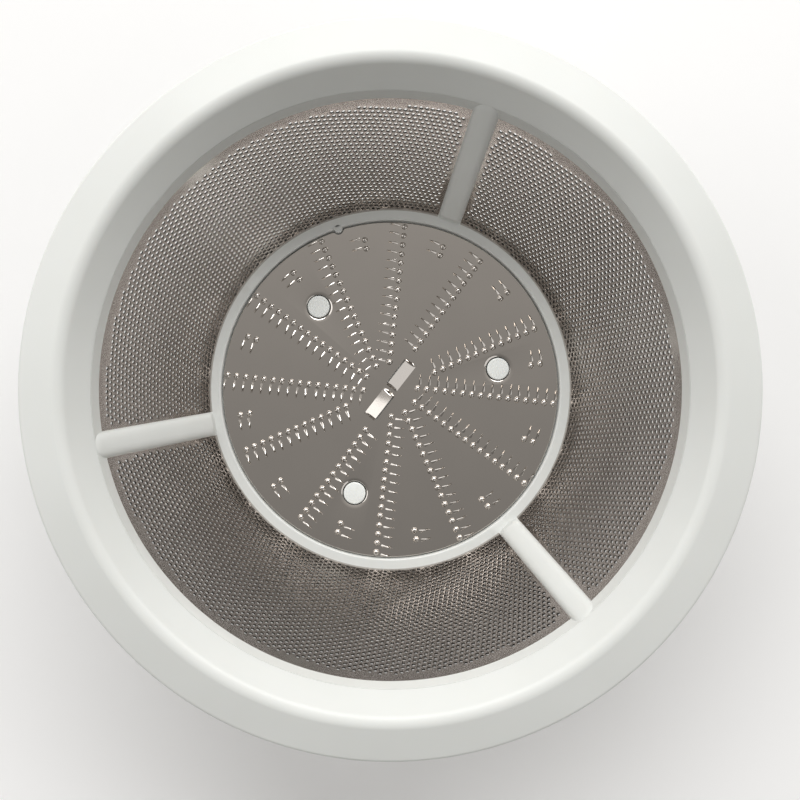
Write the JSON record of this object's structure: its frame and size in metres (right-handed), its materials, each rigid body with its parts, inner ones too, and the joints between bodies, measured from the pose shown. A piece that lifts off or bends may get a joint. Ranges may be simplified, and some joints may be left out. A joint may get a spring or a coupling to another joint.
{
  "type": "centrifugal juicer basket",
  "caption": "Conical sieve basket of a centrifugal juicer: white rim and ribs, perforated steel panels, toothed steel grating disc, splined drive coupling beneath.",
  "frame": {"origin": "on the basket's axis, in the plane of its foot", "axes": "+Z along the axis, up out of the basket's mouth; +X is 70.9 degrees clockwise of the first rib, seen from above"},
  "size_m": [0.1578, 0.1578, 0.0554],
  "materials": {
    "white_plastic": "satin moulded",
    "sieve_steel": "perforated, bright",
    "polished_steel": "mirror polished",
    "grey_nylon": "moulded, glass filled",
    "screw_steel": "plated"
  },
  "bodies": {
    "root": {"rim_ring": "white_plastic", "cage_frame": "white_plastic", "base_cup": "white_plastic", "mesh_panel_1": "sieve_steel", "mesh_panel_2": "sieve_steel", "mesh_panel_3": "sieve_steel", "rib_strip_1": "white_plastic", "rib_strip_2": "white_plastic", "rib_strip_3": "white_plastic", "grating_disc": "polished_steel", "disc_rivet_1": "white_plastic", "disc_rivet_2": "white_plastic", "disc_rivet_3": "white_plastic", "base_hub": "white_plastic", "drive_coupling": "grey_nylon", "coupling_screw_1": "screw_steel", "coupling_screw_2": "screw_steel", "coupling_screw_3": "screw_steel"}
  },
  "joints": []
}
